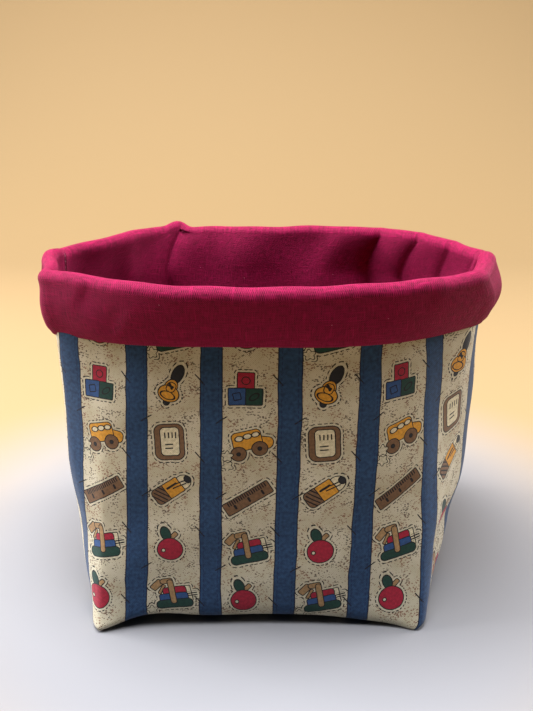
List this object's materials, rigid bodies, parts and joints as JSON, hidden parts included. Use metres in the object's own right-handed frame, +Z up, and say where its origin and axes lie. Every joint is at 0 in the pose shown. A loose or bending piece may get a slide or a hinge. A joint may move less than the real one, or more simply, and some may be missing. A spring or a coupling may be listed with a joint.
{
  "type": "fabric storage bin",
  "caption": "Sewn fabric storage bin with a boxed square base, fleece interlining and a plain lining turned outwards as a soft rolled cuff.",
  "frame": {"origin": "on the floor, under the middle of the overall box", "axes": "+Z up out of the open top, -Y towards the front panel, +X to the right as seen from the front"},
  "size_m": [0.1994, 0.1456, 0.1435],
  "materials": {
    "printed_cotton": "plain-weave printed quilting cotton",
    "crimson_cotton": "plain-weave dyed quilting cotton",
    "fleece_interfacing": "needled fusible fleece",
    "cream_thread": "cotton sewing thread",
    "crimson_thread": "cotton sewing thread",
    "tan_thread": "cotton sewing thread along a turned edge"
  },
  "bodies": {
    "root": {"outer_front_panel": "printed_cotton", "outer_back_panel": "printed_cotton", "front_interfacing": "fleece_interfacing", "back_interfacing": "fleece_interfacing", "lining_front_panel": "crimson_cotton", "lining_back_panel": "crimson_cotton", "outer_left_side_seam": "cream_thread", "outer_right_side_seam": "cream_thread", "outer_base_seam": "cream_thread", "outer_left_corner_seam": "cream_thread", "outer_right_corner_seam": "cream_thread", "lining_left_side_seam": "crimson_thread", "lining_right_side_seam": "crimson_thread", "lining_base_seam": "crimson_thread", "lining_closing_stitches": "crimson_thread", "lining_left_corner_seam": "crimson_thread", "lining_right_corner_seam": "crimson_thread", "hem_seam": "tan_thread"}
  },
  "joints": []
}
